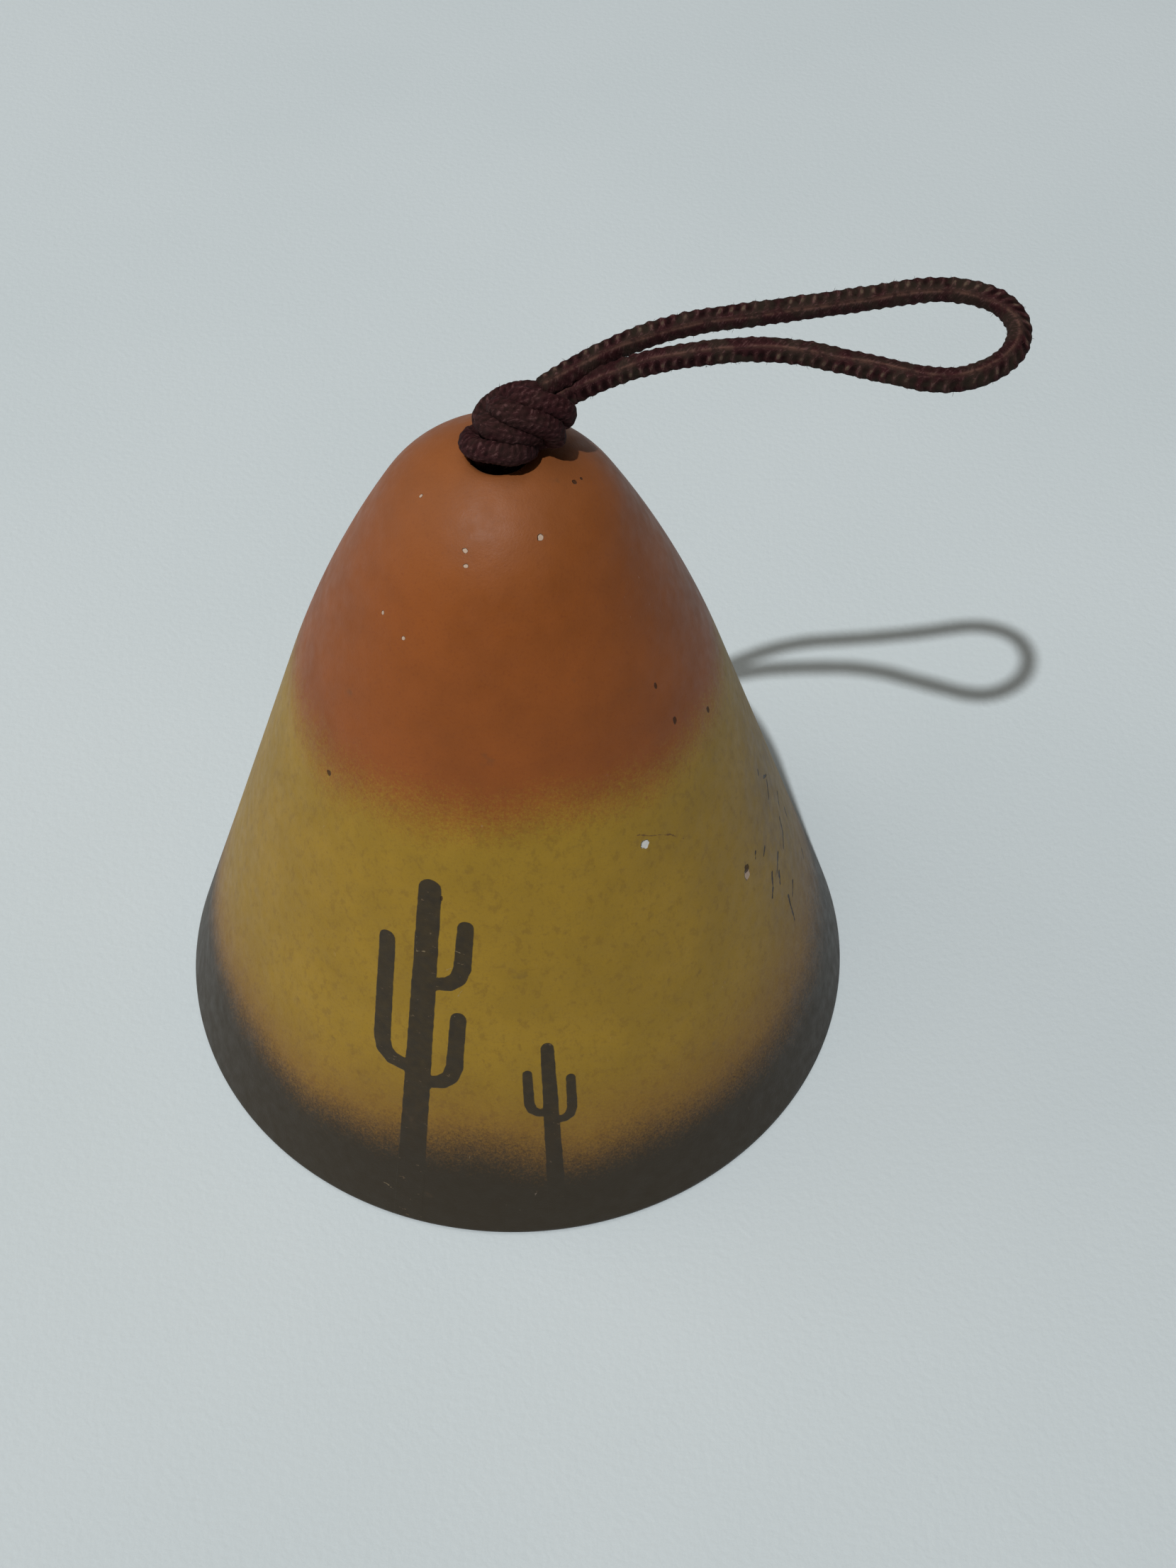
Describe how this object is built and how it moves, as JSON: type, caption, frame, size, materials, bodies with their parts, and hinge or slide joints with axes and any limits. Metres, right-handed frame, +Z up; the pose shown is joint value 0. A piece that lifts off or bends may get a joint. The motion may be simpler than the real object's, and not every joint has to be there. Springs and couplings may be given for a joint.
{
  "type": "ceramic bell",
  "caption": "Cone-shaped ceramic bell on a braided cord: a hanging loop and knot on the crown, and a ball clapper on the same cord inside.",
  "frame": {"origin": "middle of the mouth, on the surface the bell stands on", "axes": "+Z up the bell's axis to the crown; the hanging loop lies out towards +X; the painted front faces -Y"},
  "size_m": [0.1219, 0.109, 0.1312],
  "materials": {
    "painted_ceramic": "matte",
    "bare_ceramic": "matte",
    "braided_cord": "matte"
  },
  "bodies": {
    "shell": {"bell_shell": "painted_ceramic"},
    "neck_cord": {"neck_strand_left": "braided_cord", "neck_strand_right": "braided_cord"},
    "knots": {"crown_knot": "braided_cord", "lock_knot": "braided_cord"},
    "loop": {"hanging_loop": "braided_cord"},
    "clapper_line": {"clapper_cord_left": "braided_cord", "clapper_cord_right": "braided_cord", "clapper": "bare_ceramic", "clapper_end_knot": "braided_cord", "cord_tail_left": "braided_cord", "cord_tail_right": "braided_cord"}
  },
  "joints": [
    {"name": "cord_lift", "type": "slide", "parent": "shell", "child": "neck_cord", "axis": [0, 0, 1], "range_m": [0, 0.004]},
    {"name": "cord_swivel", "type": "hinge", "parent": "neck_cord", "child": "knots", "pos_m": [0, 0, 0.114], "axis": [0, 0, 1], "continuous": true},
    {"name": "loop_bend", "type": "hinge", "parent": "knots", "child": "loop", "pos_m": [0.00572, 0.00091, 0.11972], "axis": [0, -1, 0], "range_deg": [-35, 80]},
    {"name": "clapper_swing", "type": "hinge", "parent": "knots", "child": "clapper_line", "pos_m": [0, 0, 0.1], "axis": [0, 1, 0], "range_deg": [-21, 21]}
  ]
}
